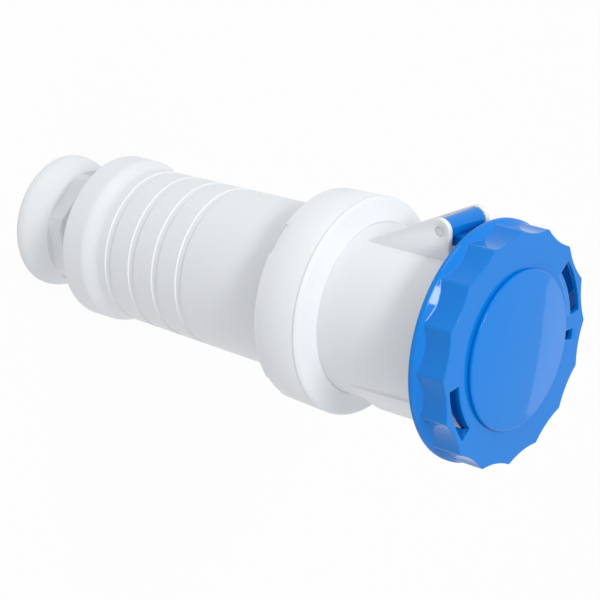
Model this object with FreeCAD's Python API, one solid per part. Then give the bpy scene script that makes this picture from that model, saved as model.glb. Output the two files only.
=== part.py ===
import FreeCAD, Part
import math
import os

# Industrial cable socket, 125 A, two poles and earth, with a hinged bayonet lid.
# Millimetres. Pieces are drawn lying along X, with the mating end towards +X, the hinge on top,
# x = 0 at the rim of the lid's centre disc and rearward stations negative. They are written out
# standing on the gland nut, with the axis on Z, the mating end up and the hinge towards -X.

V = FreeCAD.Vector
AXIS = V(1, 0, 0)
ORIGIN = V(0, 0, 0)

# Clearances
RUN = 0.08            # running fit of turning and threaded parts, on the radius
PRESS = 0.02          # pin in its ears, on the radius
GAP = 0.3             # free space between faces that part company
SEAT = 0.1            # space between a seal and the face that closes on it

# Sleeve of the socket housing, with its shelf, captive flange and keyway pad
sleeve_r = 47.2
sleeve_wall = 3.6
sleeve_length = 84.0
mouth_edge = 0.5
plug_depth = 64.4
plug_gap = 7.1
shelf_thickness = 8.0
shelf_gap = 0.3
flange_height = 6.0
flange_thickness = 4.9
key_height = 3.8
key_half_angle = 17.0
key_foot_half_angle = 40.0
key_run_out = 7.0
key_slot_width = 10.0
key_slot_depth = 3.8
key_slot_stop = 2.4
key_overrun = 4.0

# Lid disc: centre boss, neck and flange inside the lock ring
neck_inset = 6.0
disc_snap = 1.7
disc_rise = 1.3
disc_edge = 0.9
disc_rim_length = 2.1
disc_lip = 1.2
disc_flange_length = 4.6
disc_wall = 2.6

# Lock ring: fluted bayonet ring round the lid disc
ring_play = 4.0
ring_valley_wall = 2.5
ring_rim = 1.1
ring_depth = 20.9
ring_step = 2.5
ring_front_wall = 3.0
ring_flange = 2.9
ring_bevel = 4.0
ring_edge = 0.7
scallops = 16
scallop_depth = 2.9
scallop_r = 47.0
window_half_angle = 16.5
window_inner_margin = 1.0
window_outer_margin = 0.5
window_angle = 66.3
notch_angle = 95.5
notch_inset = 5.4
notch_length = 6.4
notch_width = 5.6
bayonet_turn = 45.0
bayonet_length = 3.5
ring_lug_gap = 4.0
sleeve_lug_height = 7.3
sleeve_lug_half_angle = 14.0
sleeve_lug_length = 4.2
sleeve_lug_setback = 1.4

# Lid seal
seal_width = 5.8
seal_thickness = 3.2
seal_groove = 2.2

# Hinge
pin_r = 2.5
pin_edge = 0.4
pin_setback = 30.4
pin_lift = 5.3
ear_half_width = 17.9
ear_thickness = 3.0
ear_tip_r = 7.0
ear_slope = 26.57
ear_edge = 0.7
barrel_r = 6.2
barrel_gap = 0.3
arm_half_width = 11.0
arm_thickness = 6.0
arm_clearance = 3.1

# Union ring
union_gap = 1.3
union_wall = 4.6
union_rise = 1.4
union_length = 29.2
union_cone = 3.9
union_front_wall = 8.4
union_edge = 1.6
union_notches = 4
union_notch_depth = 1.3
union_notch_angle = 17.5
union_nose = 0.8

# Body seal between the housing flange and the handle
body_seal_inset = 0.2
body_seal_width = 5.4
body_seal_thickness = 2.5

# Handle
handle_inset = 0.7
handle_taper = 3.1
handle_wall = 3.6
head_length = 14.6
head_rim = 5.3
head_root = 1.5
handle_length = 141.7
collar_height = 3.75
collar_length = 14.5
shoulder_length = 11.5
collar_edge = 1.8
end_wall = 6.0
grooves = 4
groove_pitch = 17.9
groove_width = 4.6
groove_depth = 0.7
groove_first = 5.0
neck_thread_r = 27.0
neck_edge = 0.8
neck_wall = 3.0
seal_seat_length = 4.0
seal_seat_margin = 2.0

# Cable gland
gland_seal_bore_r = 18.5
gland_seal_length = 20.0
gland_seal_mouth = 3.0
gland_seal_edge = 1.0
gland_travel = 6.0
friction_ring_length = 2.5
friction_ring_margin = 0.5
nut_gap = 15.5
nut_wall = 3.05
nut_corner_height = 3.15
nut_edge = 1.0
nut_clock = 17.0
nut_hex_length = 9.5
nut_floor = 3.0
nut_boss_gap = 0.8
nut_boss_margin = 1.0
bell_rise = 5.8
bell_lip = 2.5
bell_round = 14.0
bell_throat_margin = 4.5
bell_flare = 9.5

# Contacts: radius of the plug's pin, and what the tube, collar and terminal add to it
power_pin_r = 5.0
earth_pin_r = 6.0
pilot_pin_r = 3.0
tube_wall = 2.4
pilot_wall = 1.4
tube_edge = 0.6
spring_wall = 1.0
spring_room = 0.2
collar_step = 2.1
pilot_collar_step = 1.1
terminal_step = 0.6
contact_inset = 13.0
contact_spread = 60.0
tube_setback = 11.5
tube_bottom = 4.0
terminal_collar_length = 20.5
terminal_length = 20.0
wire_bore_wall = 2.6
wire_bore_depth = 17.0
finger_slot = 1.2
finger_length = 32.0
spring_setback = 6.0
spring_length = 4.0

# Contact carrier, its rear plate and the screws
carrier_recess = 6.4
carrier_edge = 1.0
carrier_flange_height = 6.0
carrier_flange_length = 6.0
carrier_flange_gap = 0.5
carrier_step = 2.5
carrier_rear_length = 22.0
plate_thickness = 4.0
plate_inset = 0.2
plate_screw_inset = 8.5
carrier_screw_offset = 2.7
carrier_screw_angle = 30.0
screws_in_circle = 3
screw_r = 1.9
screw_head_r = 3.2
screw_head_length = 2.4
screw_slot = 1.0
screw_grip = 6.0
screw_tip_gap = 0.5
terminal_screw_r = 3.4
terminal_screw_proud = 1.2
terminal_screw_pitch = 8.6
terminal_screw_setback = 5.2
hex_socket_r = 1.8
hex_socket_depth = 3.0

# Radii worked out from the sleeve outwards
sleeve_bore_r = sleeve_r - sleeve_wall
key_r = sleeve_r + key_height
sleeve_lug_r = sleeve_r + sleeve_lug_height
ring_lug_inner_r = sleeve_r + ring_lug_gap
ring_bore_r = sleeve_lug_r + ring_play
ring_valley_r = ring_bore_r + ring_valley_wall
ring_cusp_r = ring_valley_r + scallop_depth
ring_r = ring_cusp_r + ring_rim
window_inner_r = ring_lug_inner_r - window_inner_margin
window_outer_r = ring_bore_r - window_outer_margin
seal_inner_r = sleeve_r - sleeve_wall / 2 - seal_width / 2
seal_outer_r = seal_inner_r + seal_width
neck_r = sleeve_r - neck_inset
disc_r = neck_r + disc_snap
disc_flange_r = seal_outer_r + disc_lip
notch_inner_r = neck_r + notch_inset
notch_outer_r = notch_inner_r + notch_length
arm_bottom = sleeve_r + arm_clearance
pin_height = arm_bottom + arm_thickness / 2 + pin_lift
flange_r = sleeve_r + flange_height
union_thread_r = flange_r + union_gap
union_rear_r = union_thread_r + union_wall
union_front_r = union_rear_r + union_rise
body_seal_outer_r = flange_r - body_seal_inset
body_seal_inner_r = body_seal_outer_r - body_seal_width
head_bore_r = union_thread_r - head_rim

# Radii of the carrier, from the sleeve inwards
carrier_r = sleeve_bore_r - plug_gap
carrier_flange_r = carrier_r + carrier_flange_height
rear_bore_r = carrier_flange_r + carrier_flange_gap
carrier_screw_circle_r = carrier_r + carrier_screw_offset
carrier_rear_r = carrier_r - carrier_step
plate_r = carrier_rear_r - plate_inset
plate_screw_circle_r = carrier_rear_r - plate_screw_inset
contact_circle_r = carrier_rear_r - contact_inset

# Radii of the handle's rear end and the gland
handle_front_r = sleeve_r - handle_inset
handle_rear_r = handle_front_r - handle_taper
handle_bore_r = handle_rear_r - handle_wall
collar_r = handle_rear_r + collar_height
neck_bore_r = neck_thread_r - neck_wall
gland_seal_r = neck_bore_r - GAP
seal_seat_r = gland_seal_bore_r + seal_seat_margin
friction_ring_bore_r = gland_seal_bore_r + friction_ring_margin
nut_boss_r = neck_bore_r - nut_boss_gap
nut_boss_bore_r = gland_seal_bore_r + nut_boss_margin
nut_flat_r = neck_thread_r + nut_wall
nut_corner_r = nut_flat_r + nut_corner_height
bell_r = nut_corner_r + bell_rise
bell_throat_r = nut_boss_bore_r + bell_throat_margin

# Stations along the axis, worked out from the lengths above
x_ring_front = -ring_step
x_ring_rear = x_ring_front - ring_depth
x_ring_inside = x_ring_front - ring_front_wall
x_disc_flange = x_ring_inside - GAP
x_disc_rear = x_disc_flange - disc_flange_length
x_lid_seal = x_disc_rear + seal_groove
x_mouth = x_lid_seal - seal_thickness - GAP
x_sleeve_lug = x_mouth - sleeve_lug_setback
x_ring_lug = x_sleeve_lug - sleeve_lug_length - GAP
x_shelf = x_mouth - plug_depth
x_shelf_rear = x_shelf - shelf_thickness
x_union_front = x_mouth - sleeve_length
x_union_edge = x_union_front - union_cone
x_union_rear = x_union_edge - union_length
x_union_inside = x_union_front - union_front_wall
x_flange = x_union_inside - SEAT
x_flange_rear = x_flange - flange_thickness
x_head = x_flange_rear - body_seal_thickness - SEAT
x_head_rear = x_head - head_length
x_collar_front = x_head_rear - handle_length
x_collar_rear = x_collar_front - collar_length
x_seal_seat = x_collar_rear - seal_seat_length
x_friction_ring = x_seal_seat - gland_seal_length
x_neck_end = x_friction_ring - friction_ring_length
x_nut_front = x_collar_rear - nut_gap
x_nut_boss = x_neck_end - SEAT
x_nut_flats = x_nut_front - nut_hex_length
x_nut_shoulder = x_neck_end - gland_travel - GAP
x_throat = x_nut_shoulder - nut_floor
x_nut_rear = x_throat - bell_flare
x_bell = x_nut_rear + bell_lip
x_pin = x_mouth - pin_setback
x_carrier_front = x_mouth - carrier_recess
x_tube = x_carrier_front - tube_setback
x_carrier_flange = x_shelf_rear - carrier_flange_length
x_carrier_rear = x_carrier_flange - carrier_rear_length
x_terminal_collar = x_carrier_rear + terminal_collar_length
x_plate_rear = x_carrier_rear - plate_thickness
x_terminal_rear = x_carrier_rear - terminal_length


def turned(path):
    """Solid turned about the axis from a closed profile of (x, r) points.

    An item that holds two points is an arc through the first that ends at the second.
    """
    start = V(path[0][0], 0, path[0][1])
    here = start
    edges = []
    for item in path[1:] + [path[0]]:
        if isinstance(item[0], tuple):
            middle = V(item[0][0], 0, item[0][1])
            end = V(item[1][0], 0, item[1][1])
            edges.append(Part.Arc(here, middle, end).toShape())
        else:
            end = V(item[0], 0, item[1])
            if end.distanceToPoint(here) < 1e-6:
                continue
            edges.append(Part.LineSegment(here, end).toShape())
        here = end
    return Part.Face(Part.Wire(edges)).revolve(ORIGIN, AXIS, 360)


def tube(x_rear, x_front, outer_r, inner_r=0.0):
    """Plain round bar, or tube where inner_r is given, between two stations."""
    bar = Part.makeCylinder(outer_r, x_front - x_rear, V(x_rear, 0, 0), AXIS)
    if inner_r:
        bar = bar.cut(Part.makeCylinder(inner_r, x_front - x_rear + 2, V(x_rear - 1, 0, 0), AXIS))
    return bar


def clocked(shape, angle):
    """Copy turned about the axis; angles run from the top towards +Y."""
    copy = shape.copy()
    copy.rotate(ORIGIN, AXIS, -angle)
    return copy


def sector(x_rear, x_front, inner_r, outer_r, angle, half_angle):
    """Part of a ring, centred on an angle from the top."""
    corners = [
        V(x_rear, 0, inner_r),
        V(x_rear, 0, outer_r),
        V(x_front, 0, outer_r),
        V(x_front, 0, inner_r),
        V(x_rear, 0, inner_r),
    ]
    face = Part.Face(Part.makePolygon(corners))
    return clocked(face.revolve(ORIGIN, AXIS, 2 * half_angle), angle + half_angle)


def moved(shape, y=0.0, z=0.0, x=0.0):
    """Copy shifted off the axis."""
    copy = shape.copy()
    copy.translate(V(x, y, z))
    return copy


def off_axis(radius, angle):
    """Y and Z of a point at an angle from the top."""
    return radius * math.sin(math.radians(angle)), radius * math.cos(math.radians(angle))


# Lid


def lid_disc():
    """Centre disc with its neck, rear flange, hinge arm and barrel, moulded in one."""
    dome_edge_r = disc_r - disc_edge
    dome_r = (dome_edge_r ** 2 + disc_rise ** 2) / (2 * disc_rise)
    dome_half = math.asin(dome_edge_r / dome_r) / 2
    dome_middle = (disc_rise - dome_r + dome_r * math.cos(dome_half), dome_r * math.sin(dome_half))
    body = turned([
        (disc_rise, 0.0),
        (dome_middle, (0.0, disc_r - disc_edge)),
        (-disc_edge, disc_r),
        (-disc_rim_length, disc_r),
        (-disc_rim_length, neck_r),
        (x_disc_flange, neck_r),
        (x_disc_flange, disc_flange_r),
        (x_disc_rear, disc_flange_r),
        (x_disc_rear, seal_outer_r),
        (x_lid_seal, seal_outer_r),
        (x_lid_seal, seal_inner_r),
        (x_disc_rear, seal_inner_r),
        (x_disc_rear, seal_inner_r - disc_wall),
        (-disc_wall, seal_inner_r - disc_wall),
        (-disc_wall, 0.0),
    ])
    arm = Part.makeBox(x_disc_flange - x_pin, 2 * arm_half_width, arm_thickness,
                       V(x_pin, -arm_half_width, arm_bottom))
    root = Part.makeBox(disc_flange_length, 2 * arm_half_width, arm_clearance + 1,
                        V(x_disc_rear, -arm_half_width, sleeve_r))
    barrel_half = ear_half_width - ear_thickness - barrel_gap
    barrel = Part.makeCylinder(barrel_r, 2 * barrel_half,
                               V(x_pin, -barrel_half, pin_height), V(0, 1, 0))
    bore = Part.makeCylinder(pin_r + RUN, 2 * barrel_half + 2,
                             V(x_pin, -barrel_half - 1, pin_height), V(0, 1, 0))
    groove = tube(x_disc_rear - 1, x_lid_seal, seal_outer_r, seal_inner_r)
    return body.fuse([arm, root.cut(groove), barrel]).cut(bore).removeSplitter()


def lid_seal():
    """Flat rubber ring that closes on the mouth of the sleeve."""
    return tube(x_lid_seal - seal_thickness, x_lid_seal, seal_outer_r - PRESS, seal_inner_r + PRESS)


def lock_ring():
    """Fluted bayonet ring: scalloped grip, round rear flange, windows and two inner lugs."""
    bore_r = neck_r + GAP
    grip = turned([
        (x_ring_front, bore_r),
        (x_ring_front, ring_cusp_r - ring_edge),
        (x_ring_front - ring_edge, ring_cusp_r),
        (x_ring_rear + ring_flange, ring_cusp_r + ring_edge),
        (x_ring_rear, ring_cusp_r + ring_edge),
        (x_ring_rear, ring_bore_r),
        (x_ring_inside, ring_bore_r),
        (x_ring_inside, bore_r),
    ])
    cutter = tube(x_ring_rear - 1, x_ring_front + 1, scallop_r)
    step = 360.0 / scallops
    cutters = [
        clocked(moved(cutter, z=ring_valley_r + scallop_r), (i + 0.5) * step)
        for i in range(scallops)
    ]
    grip = grip.cut(cutters)
    flange_front = x_ring_rear + ring_flange
    flange = turned([
        (x_ring_rear, ring_bore_r),
        (x_ring_rear, ring_r - ring_edge),
        (x_ring_rear + ring_edge, ring_r),
        (flange_front, ring_r),
        (flange_front + ring_bevel, ring_valley_r - ring_edge),
        (flange_front + ring_bevel, ring_bore_r),
    ])
    ring = grip.fuse(flange)
    for angle in (window_angle, window_angle + 180):
        ring = ring.cut(sector(x_ring_inside - 1, x_ring_front + 1, window_inner_r, window_outer_r,
                               angle, window_half_angle))
        ring = ring.fuse(sector(x_ring_lug - bayonet_length, x_ring_lug, ring_lug_inner_r,
                                ring_bore_r + 1, angle, window_half_angle))
    notch = Part.makeBox(ring_front_wall + 2, notch_width, notch_outer_r - notch_inner_r,
                         V(x_ring_inside - 1, -notch_width / 2, notch_inner_r))
    return ring.cut(clocked(notch, notch_angle)).removeSplitter()


# Socket housing


def hinge_ear(side):
    """Triangular web that carries the pin; side is -1 or 1 along Y."""
    slope = math.radians(ear_slope)
    base = sleeve_r - 0.6 * sleeve_wall
    low = math.sqrt(base ** 2 - ear_half_width ** 2)
    tip = V(x_pin - ear_tip_r * math.sin(slope), 0, pin_height + ear_tip_r * math.cos(slope))
    foot = V(tip.x - (tip.z - low) / math.tan(slope), 0, low)
    half = math.radians(45 - ear_slope / 2)
    crown = V(x_pin + ear_tip_r * math.sin(half), 0, pin_height + ear_tip_r * math.cos(half))
    front = V(x_pin + ear_tip_r, 0, pin_height)
    toe = V(front.x, 0, low)
    outline = [
        Part.LineSegment(foot, tip).toShape(),
        Part.Arc(tip, crown, front).toShape(),
        Part.LineSegment(front, toe).toShape(),
        Part.LineSegment(toe, foot).toShape(),
    ]
    web = Part.Face(Part.Wire(outline)).extrude(V(0, ear_thickness, 0))
    rim = [e for e in web.Edges if e.BoundBox.YLength < 0.01 and e.BoundBox.ZMax > low + 1]
    web = web.makeFillet(ear_edge, rim)
    y = side * (ear_half_width - ear_thickness / 2) - ear_thickness / 2
    return moved(web, y=y)


def keyway_pad(length):
    """Raised pad outside the keyway, with sloping flanks that run out on the sleeve."""
    foot_r = sleeve_r - 0.3 * sleeve_wall
    y_foot, z_foot = off_axis(foot_r, 180 - key_foot_half_angle)
    y_pad, z_pad = off_axis(key_r, 180 - key_half_angle)
    corners = [V(0, y_foot, z_foot), V(0, y_pad, z_pad), V(0, -y_pad, z_pad), V(0, -y_foot, z_foot)]
    edges = [
        Part.LineSegment(corners[0], corners[1]).toShape(),
        Part.Arc(corners[1], V(0, 0, -key_r), corners[2]).toShape(),
        Part.LineSegment(corners[2], corners[3]).toShape(),
        Part.LineSegment(corners[3], corners[0]).toShape(),
    ]
    pad = Part.Face(Part.Wire(edges)).extrude(V(length, 0, 0))
    sleeve_core = tube(-1, length + 1, sleeve_r - 0.4 * sleeve_wall)
    run_out = turned([
        (0.0, sleeve_r - sleeve_wall),
        (0.0, sleeve_r - 0.2),
        ((key_run_out * 0.35, key_r - 1.0), (key_run_out, key_r + 0.4)),
        (length, key_r + 0.4),
        (length, sleeve_r - sleeve_wall),
    ])
    return pad.cut(sleeve_core).common(run_out)


def socket_housing():
    """Front sleeve with its captive flange, bayonet lugs, keyway and hinge ears."""
    shell = turned([
        (x_mouth, sleeve_bore_r),
        (x_mouth, sleeve_r - mouth_edge),
        (x_mouth - mouth_edge, sleeve_r),
        (x_flange, sleeve_r),
        (x_flange, flange_r),
        (x_flange_rear, flange_r),
        (x_flange_rear, rear_bore_r),
        (x_shelf_rear, rear_bore_r),
        (x_shelf_rear, sleeve_bore_r),
    ])
    pad_rear = x_shelf - key_overrun
    pad = moved(keyway_pad(x_mouth - pad_rear), x=pad_rear)
    shell = shell.fuse([pad, hinge_ear(-1), hinge_ear(1)])
    for angle in (window_angle, window_angle + 180):
        shell = shell.fuse(sector(x_sleeve_lug - sleeve_lug_length, x_sleeve_lug, sleeve_r - 1,
                                  sleeve_lug_r, angle + bayonet_turn, sleeve_lug_half_angle))
    keyway = Part.makeBox(plug_depth - key_slot_stop + 1, key_slot_width, key_slot_depth + 1,
                          V(x_shelf + key_slot_stop, -key_slot_width / 2, -sleeve_bore_r - key_slot_depth))
    pin_hole = Part.makeCylinder(pin_r + PRESS, 2 * ear_half_width + 2,
                                 V(x_pin, -ear_half_width - 1, pin_height), V(0, 1, 0))
    return shell.cut([keyway, pin_hole]).removeSplitter()


def sleeve_shelf():
    """Shelf inside the sleeve that the carrier is screwed to and that the plug's shroud stops at."""
    shelf = tube(x_shelf_rear, x_shelf, sleeve_bore_r, carrier_r + shelf_gap)
    for angle in carrier_screw_angles():
        y, z = off_axis(carrier_screw_circle_r, angle)
        shelf = shelf.cut(moved(tube(x_shelf_rear - 1, x_shelf_rear + screw_grip, screw_r), y=y, z=z))
    return shelf


def hinge_pin():
    """Steel pin with chamfered ends, flush with the ears."""
    length = 2 * (ear_half_width - GAP)
    pin = Part.makeCylinder(pin_r, length, V(x_pin, -length / 2, pin_height), V(0, 1, 0))
    rims = [e for e in pin.Edges if isinstance(e.Curve, Part.Circle)]
    return pin.makeChamfer(pin_edge, rims)


def union_ring():
    """Captive threaded ring that pulls the handle against the housing."""
    shell = turned([
        (x_union_front, sleeve_r + GAP),
        (x_union_front, sleeve_r + GAP + union_nose),
        (x_union_edge + union_edge * 0.3, union_front_r - union_edge),
        (x_union_edge - union_edge * 0.3, union_front_r - union_edge * 0.25),
        (x_union_edge - union_edge, union_front_r),
        (x_union_rear + union_nose, union_rear_r),
        (x_union_rear, union_rear_r - union_nose),
        (x_union_rear, union_thread_r),
        (x_union_inside, union_thread_r),
        (x_union_inside, sleeve_r + GAP),
    ])
    for i in range(union_notches):
        angle = 45 + i * 360.0 / union_notches
        shell = shell.cut(sector(x_union_rear - 1, x_union_rear + union_notch_depth,
                                 union_thread_r - 1, union_front_r + 1, angle, union_notch_angle / 2))
    return shell.removeSplitter()


def housing_seal():
    """Flat rubber ring between the housing flange and the handle's rim."""
    return tube(x_flange_rear - body_seal_thickness, x_flange_rear, body_seal_outer_r, body_seal_inner_r)


# Handle and gland


def handle_radius(x):
    """Outer radius of the tapered grip at a station."""
    share = (x_head_rear - x) / (x_head_rear - x_collar_front)
    return handle_front_r + share * (handle_rear_r - handle_front_r)


def handle():
    """Rear housing: threaded head, tapered grip with grooves, rounded collar and gland neck."""
    head_r = union_thread_r - RUN
    shoulder = x_collar_front + shoulder_length
    rise = collar_r - handle_rear_r
    inside_end = x_collar_rear + end_wall
    outline = [
        (x_head, head_r - neck_edge),
        (x_head - neck_edge, head_r),
        (x_head_rear, head_r),
        (x_head_rear, handle_radius(x_head_rear) + head_root),
        (x_head_rear - head_root, handle_radius(x_head_rear - head_root)),
    ]
    for i in reversed(range(grooves)):
        rear = shoulder + groove_first + i * groove_pitch
        front = rear + groove_width
        outline += [
            (front, handle_radius(front)),
            (front - groove_depth, handle_radius(front) - groove_depth),
            (rear + groove_depth, handle_radius(rear) - groove_depth),
            (rear, handle_radius(rear)),
        ]
    middle_x = (shoulder + x_collar_front) / 2
    middle_r = handle_rear_r + rise / 2
    bend_x = shoulder_length * 0.27
    bend_r = rise * 0.36
    outline += [
        (shoulder, handle_radius(shoulder)),
        ((middle_x + bend_x, middle_r - bend_r), (middle_x, middle_r)),
        ((middle_x - bend_x, middle_r + bend_r), (x_collar_front, collar_r)),
        (x_collar_rear + collar_edge, collar_r),
        (x_collar_rear + collar_edge * 0.3, collar_r - collar_edge * 0.3),
        (x_collar_rear, collar_r - collar_edge),
        (x_collar_rear, neck_thread_r),
        (x_neck_end + neck_edge, neck_thread_r),
        (x_neck_end, neck_thread_r - neck_edge),
        (x_neck_end, neck_bore_r),
        (x_seal_seat, neck_bore_r),
        (x_seal_seat, seal_seat_r),
        (inside_end, seal_seat_r),
        (inside_end, handle_bore_r),
        (x_head_rear, handle_bore_r),
        (x_head_rear + handle_wall, head_bore_r),
        (x_head, head_bore_r),
    ]
    return turned(outline)


def gland_seal():
    """Rubber cable seal in the neck, with a coned rear mouth."""
    return turned([
        (x_seal_seat, gland_seal_bore_r + gland_seal_edge),
        (x_seal_seat, gland_seal_r),
        (x_friction_ring, gland_seal_r),
        (x_friction_ring, gland_seal_bore_r + gland_seal_mouth),
        (x_friction_ring + gland_seal_mouth, gland_seal_bore_r),
        (x_seal_seat - gland_seal_edge, gland_seal_bore_r),
    ])


def friction_ring():
    """Thrust washer that keeps the turning nut from twisting the seal."""
    return tube(x_friction_ring - friction_ring_length, x_friction_ring, gland_seal_r, friction_ring_bore_r)


def gland_nut():
    """Cable gland nut: six flats in front, trumpet mouth behind, thrust boss inside."""
    lip_middle = bell_lip * math.sqrt(0.5)
    round_r = bell_r - bell_round
    reach = math.hypot(x_nut_flats - x_bell, nut_corner_r - round_r)
    rise = math.atan2(nut_corner_r - round_r, x_nut_flats - x_bell)
    end = rise + math.acos(bell_round / reach)
    half = (end + math.pi / 2) / 2
    bend = [
        (x_bell + bell_round * math.cos(a), round_r + bell_round * math.sin(a)) for a in (end, half)
    ]
    flare_middle = bell_flare * (1 - math.sqrt(0.5))
    nut = turned([
        (x_nut_front, neck_thread_r + RUN),
        (x_nut_front, nut_corner_r - nut_edge),
        (x_nut_front - nut_edge, nut_corner_r),
        (x_nut_flats, nut_corner_r),
        bend[0],
        (bend[1], (x_bell, bell_r)),
        ((x_bell - lip_middle, bell_r - bell_lip + lip_middle), (x_nut_rear, bell_r - bell_lip)),
        (x_nut_rear, bell_throat_r + bell_flare),
        ((x_nut_rear + flare_middle, bell_throat_r + flare_middle), (x_throat, bell_throat_r)),
        (x_throat, nut_boss_bore_r),
        (x_nut_boss, nut_boss_bore_r),
        (x_nut_boss, nut_boss_r),
        (x_nut_shoulder, nut_boss_r),
        (x_nut_shoulder, neck_thread_r + RUN),
    ])
    flat = Part.makeBox(nut_hex_length + 1, 2 * nut_corner_r, nut_corner_r,
                        V(x_nut_flats, -nut_corner_r, nut_flat_r))
    return nut.cut([clocked(flat, nut_clock + 60 * i) for i in range(6)])


# Contacts


def carrier_screw_angles():
    """Places of the screws through the carrier flange, as angles from the top."""
    return [carrier_screw_angle + 360 / screws_in_circle * i for i in range(screws_in_circle)]


def plate_screw_angles():
    """Places of the screws through the rear plate, as angles from the top."""
    return [360 / screws_in_circle * i for i in range(screws_in_circle)]


def contact_places():
    """Pin radius, tube radius, collar radius and place of each contact."""
    power_r = power_pin_r + tube_wall
    earth_r = earth_pin_r + tube_wall
    pilot_r = pilot_pin_r + pilot_wall
    left = off_axis(contact_circle_r, -contact_spread)
    right = off_axis(contact_circle_r, contact_spread)
    return {
        "phase_contact": (power_pin_r, power_r, power_r + collar_step, left),
        "neutral_contact": (power_pin_r, power_r, power_r + collar_step, right),
        "earth_contact": (earth_pin_r, earth_r, earth_r + collar_step, off_axis(contact_circle_r, 180)),
        "pilot_contact": (pilot_pin_r, pilot_r, pilot_r + pilot_collar_step, (0.0, 0.0)),
    }


def terminal_radius(tube_r):
    """Radius of the terminal barrel behind the rear plate."""
    return tube_r + terminal_step


def screw_stations():
    """Stations of the two clamping screws of each terminal."""
    first = x_plate_rear - terminal_screw_setback
    return [first, first - terminal_screw_pitch]


def outward(name, place):
    """Direction in which a terminal's screws point, as an angle from the top."""
    if name == "pilot_contact":
        return 0.0
    return math.degrees(math.atan2(place[0], place[1]))


def contact(name):
    """Slotted contact tube with a solid collar and a screw terminal behind it."""
    pin, tube_r, collar, place = contact_places()[name]
    end_r = terminal_radius(tube_r)
    body = turned([
        (x_tube, pin + RUN),
        (x_tube, tube_r - tube_edge),
        (x_tube - tube_edge, tube_r),
        (x_terminal_collar, tube_r),
        (x_terminal_collar, collar),
        (x_carrier_rear, collar),
        (x_carrier_rear, end_r),
        (x_terminal_rear, end_r),
        (x_terminal_rear, end_r - wire_bore_wall),
        (x_terminal_rear + wire_bore_depth, end_r - wire_bore_wall),
        (x_terminal_rear + wire_bore_depth, 0.0),
        (x_terminal_collar + tube_bottom, 0.0),
        (x_terminal_collar + tube_bottom, pin + RUN),
    ])
    slot = Part.makeBox(finger_length + 1, finger_slot, 2 * tube_r + 2,
                        V(x_tube - finger_length, -finger_slot / 2, -tube_r - 1))
    body = body.cut(slot)
    if name != "pilot_contact":
        body = body.cut(clocked(slot, 90))
        for x in screw_stations():
            hole = Part.makeCylinder(terminal_screw_r + PRESS, end_r + 1, V(x, 0, 0), V(0, 0, 1))
            body = body.cut(clocked(hole, outward(name, place)))
    return moved(body, y=place[0], z=place[1])


def contact_springs():
    """Open steel rings that squeeze the fingers of the three main contacts."""
    rings = []
    for name, (pin, tube_r, collar, place) in contact_places().items():
        if name == "pilot_contact":
            continue
        front = x_tube - spring_setback
        ring = tube(front - spring_length, front, tube_r + spring_wall, tube_r + PRESS)
        mouth = Part.makeBox(spring_length + 2, 3 * finger_slot, tube_r + 4,
                             V(front - spring_length - 1, -1.5 * finger_slot, 0))
        ring = ring.cut(clocked(mouth, 45))
        rings.append(moved(ring, y=place[0], z=place[1]))
    return Part.makeCompound(rings)


def terminal_screws():
    """Two hexagon-socket clamping screws for each main terminal."""
    screws = []
    for name, (pin, tube_r, collar, place) in contact_places().items():
        if name == "pilot_contact":
            continue
        end_r = terminal_radius(tube_r)
        low = end_r - wire_bore_wall + GAP
        length = end_r + terminal_screw_proud - low
        screw = Part.makeCylinder(terminal_screw_r, length, V(0, 0, low), V(0, 0, 1))
        corners = [
            V(hex_socket_r * math.cos(math.radians(60 * i)),
              hex_socket_r * math.sin(math.radians(60 * i)), low + length) for i in range(7)
        ]
        key = Part.Face(Part.makePolygon(corners)).extrude(V(0, 0, -min(hex_socket_depth, length * 0.6)))
        screw = screw.cut(key)
        for x in screw_stations():
            turned_screw = clocked(moved(screw, x=x), outward(name, place))
            screws.append(moved(turned_screw, y=place[0], z=place[1]))
    return Part.makeCompound(screws)


def contact_carrier():
    """Moulded block that holds the contacts in stepped bores."""
    body = turned([
        (x_carrier_front, 0.0),
        (x_carrier_front, carrier_r - carrier_edge),
        (x_carrier_front - carrier_edge, carrier_r),
        (x_carrier_flange, carrier_r),
        (x_carrier_flange, carrier_rear_r),
        (x_carrier_rear, carrier_rear_r),
        (x_carrier_rear, 0.0),
    ])
    for name, (pin, tube_r, collar, place) in contact_places().items():
        entry = tube(x_tube - 1, x_carrier_front + 1, pin + RUN)
        room = tube(x_terminal_collar - 1, x_tube + GAP, tube_r + spring_wall + spring_room)
        if name == "pilot_contact":
            room = tube(x_terminal_collar - 1, x_tube + GAP, tube_r + PRESS)
        seat = tube(x_carrier_rear - 1, x_terminal_collar, collar + PRESS)
        for bore in (entry, room, seat):
            body = body.cut(moved(bore, y=place[0], z=place[1]))
    for angle in plate_screw_angles():
        y, z = off_axis(plate_screw_circle_r, angle)
        body = body.cut(moved(tube(x_carrier_rear - 1, x_carrier_rear + screw_grip, screw_r), y=y, z=z))
    return body


def carrier_flange():
    """Flange round the carrier, screwed to the rear of the shelf."""
    flange = tube(x_carrier_flange, x_shelf_rear, carrier_flange_r, carrier_r)
    for angle in carrier_screw_angles():
        y, z = off_axis(carrier_screw_circle_r, angle)
        flange = flange.cut(moved(tube(x_carrier_flange - 1, x_shelf_rear + 1, screw_r + RUN), y=y, z=z))
    return flange


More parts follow.
